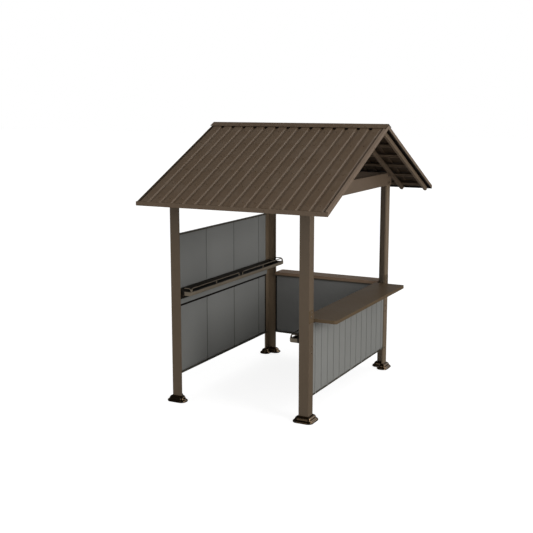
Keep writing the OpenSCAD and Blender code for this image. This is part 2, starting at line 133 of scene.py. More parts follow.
coating = {
    "clouds": (2.6, 4.0, 0.60), "cloudShare": 0.65,     # scale, detail and roughness of a noise
    "specks": (38.0, 3.0, 0.70), "speckShare": 0.35,
    "peel": (420.0, 2.0, 0.50), "peelDepth": 0.0006,
    "dustPatches": (7.0, 5.0, 0.65), "patchEdges": (0.40, 0.72),
    "lyingEdges": (0.6, 1.0),                           # dust lies on what looks up
    "dustColour": (0.40, 0.36, 0.31, 1), "dustDulls": 0.4, "unevenShine": 0.3,
}


def makePowderCoat():
    tree, take, give = newGroup("powderCoat", [
        ("Colour", "NodeSocketColor", (0.1, 0.08, 0.06, 1)),
        ("Cloud", "NodeSocketFloat", 0.3),
        ("Dust", "NodeSocketFloat", 0.05),
        ("Roughness", "NodeSocketFloat", 0.45),
    ], [
        ("Colour", "NodeSocketColor"),
        ("Roughness", "NodeSocketFloat"),
        ("Height", "NodeSocketFloat"),
    ])
    coords, facing = surfaceOf(tree)
    clouds = calc(tree, "MULTIPLY", noise(tree, coords, *coating["clouds"]), coating["cloudShare"])
    specks = calc(tree, "MULTIPLY", noise(tree, coords, *coating["specks"]), coating["speckShare"])
    centred = calc(tree, "SUBTRACT", calc(tree, "ADD", clouds, specks), 0.5)
    gain = calc(tree, "ADD", calc(tree, "MULTIPLY", centred, take["Cloud"]), 1.0)
    clouded = scaleColour(tree, take["Colour"], gain)
    lying = remap(tree, facing["Z"], coating["lyingEdges"])
    patches = remap(tree, noise(tree, coords, *coating["dustPatches"]), coating["patchEdges"])
    dust = calc(tree, "MULTIPLY", calc(tree, "MULTIPLY", lying, patches), take["Dust"])
    uneven = calc(tree, "MULTIPLY", centred, coating["unevenShine"])
    dulled = calc(tree, "MULTIPLY", dust, coating["dustDulls"])
    rough = calc(tree, "ADD", calc(tree, "ADD", take["Roughness"], uneven), dulled, True)
    tree.links.new(blendColour(tree, dust, clouded, coating["dustColour"]), give["Colour"])
    tree.links.new(rough, give["Roughness"])
    tree.links.new(noise(tree, coords, *coating["peel"]), give["Height"])
    return tree


shading = {
    "levelEdges": (0.3, 0.7), "inwardEdges": (0.2, 0.5), "beyondShade": 0.9,
    "nowhere": 9.0,                                     # past the ends of every piece
}


def makeFacingShade():
    # painted shade: darkens what looks up, down or at the middle of the gazebo, and what lies
    # beyond an X
    tree, take, give = newGroup("facingShade", [
        ("Colour", "NodeSocketColor", (0.1, 0.08, 0.06, 1)),
        ("Above", "NodeSocketFloat", 0.0),
        ("Below", "NodeSocketFloat", 0.0),
        ("Inside", "NodeSocketFloat", 0.0),
        ("Beyond", "NodeSocketFloat", shading["nowhere"]),
    ], [("Colour", "NodeSocketColor")])
    coords, facing = surfaceOf(tree)
    place = splitAxes(tree, coords)
    acrossX = calc(tree, "MULTIPLY", place["X"], facing["X"])
    acrossY = calc(tree, "MULTIPLY", place["Y"], facing["Y"])
    inward = calc(tree, "MULTIPLY", calc(tree, "ADD", acrossX, acrossY), -1.0)
    downward = calc(tree, "MULTIPLY", facing["Z"], -1.0)
    outside = calc(tree, "GREATER_THAN", calc(tree, "ABSOLUTE", place["X"]), take["Beyond"])
    total = calc(tree, "MULTIPLY", remap(tree, facing["Z"], shading["levelEdges"]), take["Above"])
    for mask, share in (
        (remap(tree, downward, shading["levelEdges"]), take["Below"]),
        (remap(tree, inward, shading["inwardEdges"]), take["Inside"]),
        (outside, shading["beyondShade"]),
    ):
        total = calc(tree, "ADD", total, calc(tree, "MULTIPLY", mask, share))
    left = calc(tree, "SUBTRACT", 1.0, total, True)
    tree.links.new(scaleColour(tree, take["Colour"], left), give["Colour"])
    return tree


powderCoat = makePowderCoat()
facingShade = makeFacingShade()


# painted shade: above, below and inside darken faces that look that way, and beyond what lies past
# that X
usualLook = {
    "cloud": 0.3, "bump": 0.12, "metallic": 0.0, "specular": 0.4,
    "above": 0.0, "below": 0.0, "inside": 0.0, "beyond": shading["nowhere"],
}


def coated(name, ownLook):
    look = {**usualLook, **ownLook}
    m = bpy.data.materials.new(name)
    m.use_nodes = True
    tree = m.node_tree
    shader = tree.nodes["Principled BSDF"]
    coat = tree.nodes.new("ShaderNodeGroup")
    coat.node_tree = powderCoat
    coat.inputs["Colour"].default_value = (*look["colour"], 1)
    for label in ("Cloud", "Dust", "Roughness"):
        coat.inputs[label].default_value = look[label.lower()]
    shade = tree.nodes.new("ShaderNodeGroup")
    shade.node_tree = facingShade
    for label in ("Above", "Below", "Inside", "Beyond"):
        shade.inputs[label].default_value = look[label.lower()]
    bump = tree.nodes.new("ShaderNodeBump")
    bump.inputs["Strength"].default_value = look["bump"]
    bump.inputs["Distance"].default_value = coating["peelDepth"]
    tree.links.new(coat.outputs["Colour"], shade.inputs["Colour"])
    tree.links.new(coat.outputs["Height"], bump.inputs["Height"])
    tree.links.new(shade.outputs["Colour"], shader.inputs["Base Color"])
    tree.links.new(coat.outputs["Roughness"], shader.inputs["Roughness"])
    tree.links.new(bump.outputs["Normal"], shader.inputs["Normal"])
    shader.inputs["Metallic"].default_value = look["metallic"]
    shader.inputs["Specular IOR Level"].default_value = look["specular"]
    return m


rackBackX = bayX - 0.03                 # past it are the backs of the racks, in their own shade

paints = {
    "framePaint": {"colour": (0.116, 0.081, 0.053), "roughness": 0.48, "dust": 0.04},
    "postPaint": {"colour": (0.107, 0.076, 0.048), "roughness": 0.46, "dust": 0.03},
    # painted light: the back posts are a lighter copy of the post paint
    "litBackPostPaint": {"colour": (0.155, 0.113, 0.072), "roughness": 0.46, "dust": 0.03},
    # painted shade: the roof sheets and ridge cap are darker where they face down
    "roofPaint": {"colour": (0.104, 0.067, 0.038), "roughness": 0.50, "dust": 0.05,
                  "cloud": 0.35, "below": 0.5},
    # painted light: the fly rafters are a lighter copy of the frame paint
    "litFlyPaint": {"colour": (0.150, 0.108, 0.072), "roughness": 0.46, "dust": 0.03},
    # painted shade: the trims other than the edge trims are darker where they face down and inward
    "trimPaint": {"colour": (0.116, 0.078, 0.048), "roughness": 0.45, "dust": 0.04,
                  "below": 0.8, "inside": 0.9},
    # painted light and shade: the edge trims are a lighter copy of the trim paint, darker where
    # they face down and inward
    "litRakePaint": {"colour": (0.152, 0.108, 0.075), "roughness": 0.42, "dust": 0.04,
                  "below": 0.9, "inside": 0.9},
    "wallPaint": {"colour": (0.192, 0.193, 0.184), "roughness": 0.52, "dust": 0.03,
                  "cloud": 0.25},
    # painted light and shade: the bar wall is a lighter copy and the back wall a darker copy of the
    # wall paint
    "litBarWallPaint": {"colour": (0.205, 0.205, 0.194), "roughness": 0.52, "dust": 0.03,
                     "cloud": 0.25},
    "shadedBackWallPaint": {"colour": (0.155, 0.155, 0.149), "roughness": 0.52, "dust": 0.03,
                      "cloud": 0.25},
    # painted shade: the seams' dark greys stand for the shade in the panels' laps, fainter on the
    # upper sheet
    "seamShadePaint": {"colour": (0.118, 0.118, 0.110), "roughness": 0.50, "dust": 0.01},
    "faintSeamShadePaint": {"colour": (0.158, 0.158, 0.150), "roughness": 0.50, "dust": 0.01},
    "edgePaint": {"colour": (0.050, 0.043, 0.030), "roughness": 0.45, "dust": 0.01},
    "barPaint": {"colour": (0.100, 0.070, 0.042), "roughness": 0.42, "dust": 0.0,
                 "specular": 0.05},
    # painted light: the back counter is a lighter copy of the bar counter's paint
    "litBackCounterPaint": {"colour": (0.200, 0.135, 0.090), "roughness": 0.42, "dust": 0.03,
                     "specular": 0.05},
    # painted shade: the racks' upward faces, such as the trays' insides, and their backs past
    # rackBackX are darker
    "rackPaint": {"colour": (0.148, 0.122, 0.090), "roughness": 0.45, "dust": 0.0,
                  "specular": 0.15, "above": 0.9, "beyond": rackBackX},
    # near black: the strips of painted shade and the foam plugs under the ridge cap
    "sealAndShadePaint": {"colour": (0.007, 0.005, 0.004), "roughness": 0.80, "dust": 0.0,
                  "specular": 0.05},
    "coverPaint": {"colour": (0.112, 0.078, 0.048), "roughness": 0.20, "dust": 0.0,
                   "metallic": 1.0, "bump": 0.04},
    "boltPaint": {"colour": (0.086, 0.062, 0.042), "roughness": 0.35, "dust": 0.01},
}
paint = {name: coated(name, look) for name, look in paints.items()}
print("finishes made")


def paintFor(node):
    if node.startswith("cover_"):
        return "coverPaint"
    if node.startswith("post_"):
        return "litBackPostPaint" if "_back_" in node else "postPaint"
    if node.startswith("roof_sheet") or node == "ridge_cap":
        return "roofPaint"
    if "_trim_" in node:
        return "litRakePaint" if node.startswith("edge_") else "trimPaint"
    if node.startswith("fly_rafter"):
        return "litFlyPaint"
    if node in ("bar_wall_sheet", "back_wall_sheet"):
        return "litBarWallPaint" if node == "bar_wall_sheet" else "shadedBackWallPaint"
    if node.endswith("_sheet") or node == "tall_wall_mid_rail":
        return "wallPaint"
    if node.endswith(("_top_rail", "_bottom_rail")):
        return "edgePaint"
    if node.endswith("_counter"):
        return "barPaint" if node == "bar_counter" else "litBackCounterPaint"
    if node.endswith("_rack"):
        return "rackPaint"
    return "framePaint"


for name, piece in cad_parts.items():
    piece.data.materials.clear()
    piece.data.materials.append(paint[paintFor(name)])


# Geometry Nodes trees: a folded roof sheet, fasteners on points, and beads in a row

def growTree(name, inputs):
    tree = bpy.data.node_groups.new(name, "GeometryNodeTree")
    for label, kind in inputs.items():
        tree.interface.new_socket(label, in_out="INPUT", socket_type="NodeSocket" + kind)
    tree.interface.new_socket("Geometry", in_out="OUTPUT", socket_type="NodeSocketGeometry")
    return tree, tree.nodes.new("NodeGroupInput").outputs, tree.nodes.new("NodeGroupOutput").inputs


def add(tree, kind, links=(), **settings):
    n = tree.nodes.new(kind)
    for key, value in settings.items():
        setattr(n, key, value)
    for label, value in dict(links).items():
        if isinstance(value, bpy.types.NodeSocket):
            tree.links.new(value, n.inputs[label])
        else:
            n.inputs[label].default_value = value
    return n


def closeTree(tree, geometry, finish, give):
    real = add(tree, "GeometryNodeRealizeInstances", {"Geometry": geometry})
    done = add(tree, "GeometryNodeSetMaterial", {"Geometry": real.outputs[0], "Material": finish})
    tree.links.new(done.outputs[0], give["Geometry"])


def makeFoldedSheet():
    rows, weld = 5, 0.00002             # points down the slope, and how near doubles are merged
    tree, take, give = growTree("foldedSheet", {
        "Width": "Float", "Length": "Float", "Column": "Float", "Thickness": "Float",
        "First groove": "Float", "Groove pitch": "Float", "Flats": "Int",
        "Groove width": "Float", "Floor width": "Float", "Groove depth": "Float",
        "Finish": "Material",
    })
    columns = calc(tree, "ADD", calc(tree, "DIVIDE", take["Width"], take["Column"]), 1.0)
    grid = add(tree, "GeometryNodeMeshGrid", {
        "Size X": take["Width"], "Size Y": take["Length"],
        "Vertices X": columns, "Vertices Y": rows,
    })
    across = splitAxes(tree, add(tree, "GeometryNodeInputPosition").outputs[0])
    x = calc(tree, "ADD", across["X"], calc(tree, "MULTIPLY", take["Width"], 0.5))
    # the nearest groove, with the sheet's two ends on the floors of the outer ones
    start = calc(tree, "SUBTRACT", x, take["First groove"])
    place = calc(tree, "DIVIDE", start, take["Groove pitch"])
    held = calc(tree, "MINIMUM", calc(tree, "MAXIMUM", place, 0.0), take["Flats"])
    away = calc(tree, "ABSOLUTE", calc(tree, "SUBTRACT", held, calc(tree, "ROUND", held)))
    distance = calc(tree, "MULTIPLY", away, take["Groove pitch"])
    wall = add(tree, "ShaderNodeMapRange", {
        "Value": distance,
        "From Min": calc(tree, "MULTIPLY", take["Floor width"], 0.5),
        "From Max": calc(tree, "MULTIPLY", take["Groove width"], 0.5),
        "To Min": calc(tree, "MULTIPLY", take["Groove depth"], -1.0), "To Max": 0.0,
    }, interpolation_type="SMOOTHSTEP")
    low = calc(tree, "SUBTRACT", wall.outputs[0], take["Thickness"])
    lift = add(tree, "ShaderNodeCombineXYZ", {"Z": low})
    under = add(tree, "GeometryNodeSetPosition", {
        "Geometry": grid.outputs["Mesh"], "Offset": lift.outputs[0],
    })
    raised = add(tree, "GeometryNodeExtrudeMesh", {
        "Mesh": under.outputs[0], "Offset": (0.0, 0.0, 1.0), "Offset Scale": take["Thickness"],
        "Individual": False,
    })
    turned = add(tree, "GeometryNodeFlipFaces", {"Mesh": under.outputs[0]})
    both = add(tree, "GeometryNodeJoinGeometry")
    tree.links.new(raised.outputs["Mesh"], both.inputs[0])
    tree.links.new(turned.outputs[0], both.inputs[0])
    whole = add(tree, "GeometryNodeMergeByDistance", {
        "Geometry": both.outputs[0], "Distance": weld,
    })
    closeTree(tree, whole.outputs[0], take["Finish"], give)
    return tree


def makeFasteners():
    tree, take, give = growTree("fasteners", {
        "Geometry": "Geometry", "Head": "Object", "Turn": "Float", "Seed": "Int",
        "Finish": "Material",
    })
    head = add(tree, "GeometryNodeObjectInfo", {"Object": take["Head"], "As Instance": True})
    axis = add(tree, "GeometryNodeInputNamedAttribute", {"Name": "axis"}, data_type="FLOAT_VECTOR")
    aim = add(tree, "FunctionNodeAlignRotationToVector", {
        "Vector": axis.outputs["Attribute"],
    }, axis="Z")
    chance = add(tree, "FunctionNodeRandomValue", {"Seed": take["Seed"]}, data_type="FLOAT")
    most = next(i for i in chance.inputs if i.name == "Max" and i.type == "VALUE")
    tree.links.new(take["Turn"], most)
    angle = next(o for o in chance.outputs if o.type == "VALUE")
    turn = add(tree, "FunctionNodeAxisAngleToRotation", {"Axis": (0.0, 0.0, 1.0), "Angle": angle})
    spun = add(tree, "FunctionNodeRotateRotation", {
        "Rotation": aim.outputs[0], "Rotate By": turn.outputs[0],
    }, rotation_space="LOCAL")
    placed = add(tree, "GeometryNodeInstanceOnPoints", {
        "Points": take["Geometry"], "Instance": head.outputs["Geometry"],
        "Rotation": spun.outputs[0],
    })
    closeTree(tree, placed.outputs[0], take["Finish"], give)
    return tree


def makeBeads():
    sides = 16
    tree, take, give = growTree("beads", {
        "Length": "Float", "Radius": "Float", "Flatness": "Float", "Count": "Int",
        "Pitch": "Float", "Finish": "Material",
    })
    top = add(tree, "ShaderNodeCombineXYZ", {"Z": take["Length"]})
    line = add(tree, "GeometryNodeCurvePrimitiveLine", {
        "Start": (0.0, 0.0, 0.0), "End": top.outputs[0],
    })
    ring = add(tree, "GeometryNodeCurvePrimitiveCircle", {
        "Resolution": sides, "Radius": take["Radius"],
    })
    swept = add(tree, "GeometryNodeCurveToMesh", {
        "Curve": line.outputs[0], "Profile Curve": ring.outputs[0], "Fill Caps": True,
    })
    squash = add(tree, "ShaderNodeCombineXYZ", {"X": take["Flatness"], "Y": 1.0, "Z": 1.0})
    flat = add(tree, "GeometryNodeTransform", {
        "Geometry": swept.outputs[0], "Scale": squash.outputs[0],
    })
    step = add(tree, "ShaderNodeCombineXYZ", {"Y": take["Pitch"]})
    row = add(tree, "GeometryNodeMeshLine", {"Count": take["Count"], "Offset": step.outputs[0]})
    placed = add(tree, "GeometryNodeInstanceOnPoints", {
        "Points": row.outputs[0], "Instance": flat.outputs[0],
    })
    closeTree(tree, placed.outputs[0], take["Finish"], give)
    return tree


trees = {"sheet": makeFoldedSheet(), "fasteners": makeFasteners(), "beads": makeBeads()}


def newObject(name, data):
    made = bpy.data.objects.new(name, data)
    bpy.context.collection.objects.link(made)
    return made


def grow(name, kind, settings, points=None):
    # a plain mesh from one of the trees, on points or on nothing
    source = newObject(name + "Source", points or bpy.data.meshes.new(name + "Start"))
    modifier = source.modifiers.new("grow", "NODES")
    modifier.node_group = trees[kind]
    for item in trees[kind].interface.items_tree:
        if item.in_out == "INPUT" and item.name in settings:
            modifier[item.identifier] = settings[item.name]
    graph = bpy.context.evaluated_depsgraph_get()
    plain = bpy.data.meshes.new_from_object(source.evaluated_get(graph), depsgraph=graph)
    bpy.data.objects.remove(source)
    plain.name = name
    return plain


def show(name, mesh, replaced=()):
    piece = newObject(name, mesh)
    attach(piece, "root")
    if replaced:
        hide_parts(*replaced)


smoothing = {"sheet": 35, "head": 32, "bead": 50}       # degrees; sharper edges stay hard


def smoothUnder(mesh, degrees):
    mesh.shade_smooth()
    mesh.set_sharp_from_angle(angle=math.radians(degrees))


def slopeFrame(side):
    # local X along the ridge, Y down the slope and Z square to it; side is -1 in front
    return Matrix((
        (1, 0, 0, 0),
        (0, side * math.cos(slope), side * math.sin(slope), 0),
        (0, -math.sin(slope), math.cos(slope), apexZ),
        (0, 0, 0, 1),
    ))


# Roof sheets with rounded grooves, which stand for the square-cornered ones of the frame

roof = {
    "column": 0.002, "flats": 15, "firstGroove": 0.023, "lastGroove": 0.030,
    "grooveWidth": 0.046, "floorWidth": 0.026, "grooveDepth": 0.012,
    "endGap": 0.002, "ridgeGap": 0.016, "eaveGap": 0.004,
}
groovePitch = (roofX1 - roofX0 - roof["firstGroove"] - roof["lastGroove"]) / roof["flats"]


def roofSheet(name, side):
    width = roofX1 - roofX0 - 2 * roof["endGap"]
    length = slopeLength - roof["ridgeGap"] - roof["eaveGap"]
    mesh = grow(name, "sheet", {
        "Width": width, "Length": length, "Column": roof["column"], "Thickness": sheet,
        "First groove": roof["firstGroove"] - roof["endGap"], "Groove pitch": groovePitch,
        "Flats": roof["flats"], "Groove width": roof["grooveWidth"],
        "Floor width": roof["floorWidth"], "Groove depth": roof["grooveDepth"],
        "Finish": paint["roofPaint"],
    })
    middle = Vector(((roofX0 + roofX1) / 2, roof["ridgeGap"] + length / 2, 0))
    mesh.transform(slopeFrame(side) @ Matrix.Translation(middle))
    if side < 0:
        mesh.flip_normals()             # the front's frame is a mirrored one
    smoothUnder(mesh, smoothing["sheet"])
    return mesh


show("roofSheetFront", roofSheet("roofSheetFront", -1), ["roof_sheet_front"])
show("roofSheetBack", roofSheet("roofSheetBack", 1), ["roof_sheet_back"])
print("roof sheets made")

# Fasteners: each head is turned from rings, and the tree sets it on its places

def headShape(name, sides, rings):
    # a ring is (radius, height, how six-sided it is from 0 to 1)
    shape = bmesh.new()
    rows = []
    for radius, height, flatness in rings:
        row = []
        for k in range(sides):
            angle = 2 * math.pi * k / sides
            off = (angle + math.pi / 6) % (math.pi / 3) - math.pi / 6
            hexed = math.cos(math.pi / 6) / math.cos(math.pi / 6 - abs(off)) if flatness else 1.0
            r = radius * (1 + flatness * (hexed - 1))
            row.append(shape.verts.new((r * math.cos(angle), r * math.sin(angle), height)))
        rows.append(row)
    for lower, upper in zip(rows, rows[1:]):
        for k in range(sides):
            shape.faces.new((lower[k], lower[(k + 1) % sides], upper[(k + 1) % sides], upper[k]))
    shape.faces.new(rows[0][::-1])
    shape.faces.new(rows[-1])
    mesh = bpy.data.meshes.new(name)
    shape.to_mesh(mesh)
    shape.free()
    return mesh


heads = {
    "roofScrew": (12, [(0.0080, 0, 0), (0.0080, 0.0012, 0), (0.0072, 0.0020, 0),
                       (0.0050, 0.0021, 1), (0.0050, 0.0058, 1), (0.0042, 0.0068, 0)]),
    "panScrew": (12, [(0.0062, 0, 0), (0.0060, 0.0010, 0), (0.0048, 0.0024, 0),
                      (0.0026, 0.0032, 0)]),
    "hexBolt": (24, [(0.0125, 0, 0), (0.0125, 0.0018, 0), (0.0118, 0.0024, 0),
                     (0.0096, 0.0025, 1), (0.0096, 0.0078, 1), (0.0084, 0.0090, 0)]),
    "carriageBolt": (24, [(0.0110, 0, 0), (0.0106, 0.0014, 0), (0.0086, 0.0034, 0),
                          (0.0050, 0.0048, 0), (0.0018, 0.0053, 0)]),
    "foamPlug": (16, [(0.0130, 0, 0), (0.0130, 0.0060, 0), (0.0115, 0.0085, 0),
                      (0.0060, 0.0100, 0)]),
    "weldCollar": (24, [(0.0088, 0, 0), (0.0082, 0.0018, 0), (0.0068, 0.0032, 0),
                        (0.0052, 0.0040, 0)]),
}


def fasten(name, head, places, finish, turn=math.pi):
    # places is a list of (point, direction the head points in)
    points = bpy.data.meshes.new(name + "Places")
    points.from_pydata([p for p, axis in places], [], [])
    axes = points.attributes.new("axis", "FLOAT_VECTOR", "POINT")
    axes.data.foreach_set("vector", [c for p, axis in places for c in axis])
    pattern = newObject(head + "Pattern", headShape(head, *heads[head]))
    mesh = grow(name, "fasteners", {
        "Head": pattern, "Turn": turn, "Seed": len(places), "Finish": paint[finish],
    }, points)
    bpy.data.objects.remove(pattern)
    smoothUnder(mesh, smoothing["head"])
    show(name, mesh)


def onSlope(side, x, s, n):
    return slopeFrame(side) @ Vector((x, s, n))


def slopeNormal(side):
    return (0, side * math.sin(slope), math.cos(slope))


def grooveX(number):
    return roofX0 + roof["firstGroove"] + number * groovePitch


screws = {
    "firstPurlin": 0.165, "lastPurlin": 0.078, "purlins": 6, "fromCapEdge": 0.023,
    "firstRake": 0.14, "rakeStep": 0.265, "rakes": 6, "rakeDrop": 0.022, "eaveDrop": 0.018,
}
flatMiddles = [grooveX(k + 0.5) for k in range(roof["flats"])]
purlinStep = (slopeLength - screws["lastPurlin"] - screws["firstPurlin"]) / (screws["purlins"] - 1)
purlinPlaces = [screws["firstPurlin"] + k * purlinStep for k in range(screws["purlins"])]
fasten("roofScrews", "roofScrew", [
    (onSlope(side, x, s, 0), slopeNormal(side))
    for side in (-1, 1) for s in purlinPlaces for x in flatMiddles
], "roofPaint")

fasten("capScrews", "roofScrew", [
    (onSlope(side, x, capWing - screws["fromCapEdge"], capLift + sheet), slopeNormal(side))
    for side in (-1, 1) for x in flatMiddles
], "roofPaint")

rakePlaces = [screws["firstRake"] + k * screws["rakeStep"] for k in range(screws["rakes"])]
rakeScrews = [
    ((x, *onSlope(side, x, s, -screws["rakeDrop"])[1:]), (sign, 0, 0))
    for x, sign in ((roofX0, -1), (roofX1, 1)) for side in (-1, 1) for s in rakePlaces
]
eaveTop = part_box("eave_trim_back")[1][2]
eaveScrews = [
    ((x, side * eaveY, eaveTop - screws["eaveDrop"]), (0, side, 0))
    for side in (-1, 1) for x in flatMiddles[::2]
]
fasten("trimScrews", "panScrew", rakeScrews + eaveScrews, "trimPaint")
print("roof screws made")

# Bolts of the frame: four at each end of a beam, and pairs where rails meet the posts

bolts = {"edge": 0.026, "inset": 0.028, "railInset": 0.030, "pair": (-0.03, 0.03)}
legMiddles = [postLeg - bolts["inset"], bolts["inset"]]
beamLevels = [beamLow + bolts["edge"], beamTop - bolts["edge"]]
tieBolts = [
    ((sx * (postX + beamSheet), sy * (postY - inset), z), (sx, 0, 0))
    for sx in (-1, 1) for sy in (-1, 1) for inset in legMiddles for z in beamLevels
]
eaveBolts = [
    ((sx * (postX - inset), sy * (postY + beamSheet), z), (0, sy, 0))
    for sx in (-1, 1) for sy in (-1, 1) for inset in legMiddles for z in beamLevels
]
fasten("beamBolts", "hexBolt", tieBolts + eaveBolts, "boltPaint")


def middle(node):
    low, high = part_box(node)
    return (low[2] + high[2]) / 2


def railBolts(node, sx, levels=(0,)):
    # through the outer faces of two posts into a rail; sx is 0 on the back wall
    places = []
    for offset in levels:
        z = middle(node) + offset
        for end in (-1, 1):
            if sx:
                places.append(((sx * postX, end * (bayY + bolts["railInset"]), z), (sx, 0, 0)))
            else:
                places.append(((end * (bayX + bolts["railInset"]), postY, z), (0, 1, 0)))
    return places


wallBolts = (
    railBolts("tall_wall_top_rail", -1)
    + railBolts("tall_wall_mid_rail", -1, bolts["pair"])
    + railBolts("tall_wall_bottom_rail", -1)
    + railBolts("back_wall_bottom_rail", 0)
    + railBolts("bar_wall_bottom_rail", 1)
    + railBolts("bar_wall_rack_rail", 1, bolts["pair"])
)
fasten("wallBolts", "carriageBolt", wallBolts, "boltPaint")

# Bolts through the counters' tabs

tab = {"height": 0.085, "low": 0.022, "high": 0.062, "thick": 0.002}
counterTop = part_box("bar_counter")[1][2] - tab["height"]
tabBolts = [
    ((postX + tab["thick"], end * (bayY + postLeg / 2), counterTop + z), (1, 0, 0))
    for end in (-1, 1) for z in (tab["low"], tab["high"])
] + [
    ((end * (bayX + postLeg / 2), postY + tab["thick"], counterTop + z), (0, 1, 0))
    for end in (-1, 1) for z in (tab["low"], tab["high"])
]
fasten("tabBolts", "carriageBolt", tabBolts, "boltPaint")
print("frame bolts made")

# Screws of the wall rails, outside, and of the racks' back plates, inside

screwRows = {"step": 0.2778, "railFace": 0.003, "plateFace": 0.002, "plateLevel": 0.030}


def rowPlaces(reach):
    count = int(reach / screwRows["step"])
    return [k * screwRows["step"] for k in range(-count, count + 1)]


wallScrews = [
    ((-postX + screwRows["railFace"], y, middle(node)), (-1, 0, 0))
    for node in ("tall_wall_top_rail", "tall_wall_mid_rail", "tall_wall_bottom_rail")
    for y in rowPlaces(bayY)
] + [
    ((postX - screwRows["railFace"], y, middle("bar_wall_bottom_rail")), (1, 0, 0))
    for y in rowPlaces(bayY)
] + [
    ((x, postY - screwRows["railFace"], middle("back_wall_bottom_rail")), (0, 1, 0))
    for x in rowPlaces(bayX)
]
fasten("wallScrews", "panScrew", wallScrews, "wallPaint")


def rackPlaces(node, inward):
    low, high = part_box(node)
    x = (high[0] if inward < 0 else low[0]) + inward * screwRows["plateFace"]
    return [((x, y, low[2] + screwRows["plateLevel"]), (inward, 0, 0)) for y in rowPlaces(bayY)]


rackScrews = rackPlaces("tall_wall_rack", 1) + rackPlaces("bar_rack", -1)
fasten("rackScrews", "carriageBolt", rackScrews, "boltPaint")

guards = {
    "hang": 0.060, "lip": 0.036, "halfRim": 0.006,      # of the tray that carries them
    "start": 0.037, "end": 0.022, "loop": 0.096,
}


def guardFeet(node, inward):
    # feet on the rim: two long rails and a loop at each end
    low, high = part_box(node)
    front = high[0] if inward > 0 else low[0]
    top = low[2] + guards["hang"] + guards["lip"]
    rail = front - inward * guards["halfRim"]
    reach = high[1]
    last = reach - guards["end"]
    loopY = reach - guards["halfRim"]
    feet = []
    for end in (-1, 1):
        feet += [(rail, end * y) for y in (guards["start"], (guards["start"] + last) / 2, last)]
        feet += [(rail, end * loopY), (rail - inward * guards["loop"], end * loopY)]
    return [((x, y, top), (0, 0, 1)) for x, y in feet]


guardCollars = guardFeet("tall_wall_rack", 1) + guardFeet("bar_rack", -1)
fasten("guardCollars", "weldCollar", guardCollars, "rackPaint", 0.0)
print("rack fittings made")

# Seams of the tall wall's inner face: raised beads where its panels lap, in dark greys that are
# painted shade of the laps

seams = {
    "firstY": -0.365, "pitch": 0.55, "count": 3, "radius": 0.007, "flatness": 0.35,
    "endGap": 0.002,
}
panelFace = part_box("tall_wall_upper_sheet")[1][0]
sunk = 0.001                            # how far the back of a bead lies in its sheet


def seamRow(name, node, finish):
    low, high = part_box(node)
    mesh = grow(name, "beads", {
        "Length": high[2] - low[2] - 2 * seams["endGap"], "Radius": seams["radius"],
        "Flatness": seams["flatness"], "Count": seams["count"], "Pitch": seams["pitch"],
        "Finish": paint[finish],
    })
    proud = seams["radius"] * seams["flatness"] - sunk
    start = (panelFace + proud, seams["firstY"], low[2] + seams["endGap"])
    mesh.transform(Matrix.Translation(start))
    smoothUnder(mesh, smoothing["bead"])
    show(name, mesh)


seamRow("upperSeams", "tall_wall_upper_sheet", "faintSeamShadePaint")
seamRow("lowerSeams", "tall_wall_lower_sheet", "seamShadePaint")


# Painted shade: black strips under the middle rail, at the ends of two walls, beside and behind
# the edge trims; and black foam plugs under the ridge cap, whose black also stands for the shade in
# its notches

# the black strips of painted shade, and the foam plugs under the ridge cap
shadeStripsAndPlugs = {
    "rail": 0.0120, "end": 0.0085, "trim": 0.0065, "lining": 0.0138, "flatness": 0.4,
    "endGap": 0.004, "eaveGap": 0.012, "trimEdge": 0.024, "grooveFloor": -0.012,
    "liningEdge": 0.030, "liningLevel": -0.036, "liningTop": 0.020, "liningEnd": 0.030,
    "plugInset": 0.001, "plugLevel": -0.011,
}


def shadeStripLine(name, start, end, normal, radius):
    across = Vector(normal)
    reach = Vector(end) - Vector(start)
    along = reach.normalized()
    mesh = grow(name, "beads", {
        "Length": reach.length, "Radius": radius, "Flatness": shadeStripsAndPlugs["flatness"], "Count": 1,
        "Finish": paint["sealAndShadePaint"],
    })
    turned = Matrix((across, along.cross(across), along)).transposed().to_4x4()
    proud = radius * shadeStripsAndPlugs["flatness"] - sunk
    mesh.transform(Matrix.Translation(Vector(start) + across * proud) @ turned)
    smoothUnder(mesh, smoothing["bead"])
    show(name, mesh)


def slopeShadeStrip(name, side, x, top, bottom, level, radius):
    start, end = onSlope(side, x, top, level), onSlope(side, x, bottom, level)
    shadeStripLine(name, start, end, slopeNormal(side), radius)


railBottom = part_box("tall_wall_mid_rail")[0][2]
railShadeStripZ = railBottom - shadeStripsAndPlugs["rail"]
shadeStripLine("midRailSeal", (panelFace, -bayY, railShadeStripZ), (panelFace, bayY, railShadeStripZ),
         (1, 0, 0), shadeStripsAndPlugs["rail"])

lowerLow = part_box("tall_wall_lower_sheet")[0]
wallEndY = bayY - shadeStripsAndPlugs["end"]
shadeStripLine("tallWallEndSeal", (panelFace, wallEndY, lowerLow[2] + shadeStripsAndPlugs["endGap"]),
         (panelFace, wallEndY, railBottom - 2 * shadeStripsAndPlugs["rail"]), (1, 0, 0), shadeStripsAndPlugs["end"])

backLow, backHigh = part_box("back_wall_sheet")
wallEndX = -bayX + shadeStripsAndPlugs["end"]
shadeStripLine("backWallEndSeal", (wallEndX, backLow[1], backLow[2] + shadeStripsAndPlugs["endGap"]),
         (wallEndX, backLow[1], backHigh[2] - shadeStripsAndPlugs["endGap"]), (0, -1, 0), shadeStripsAndPlugs["end"])

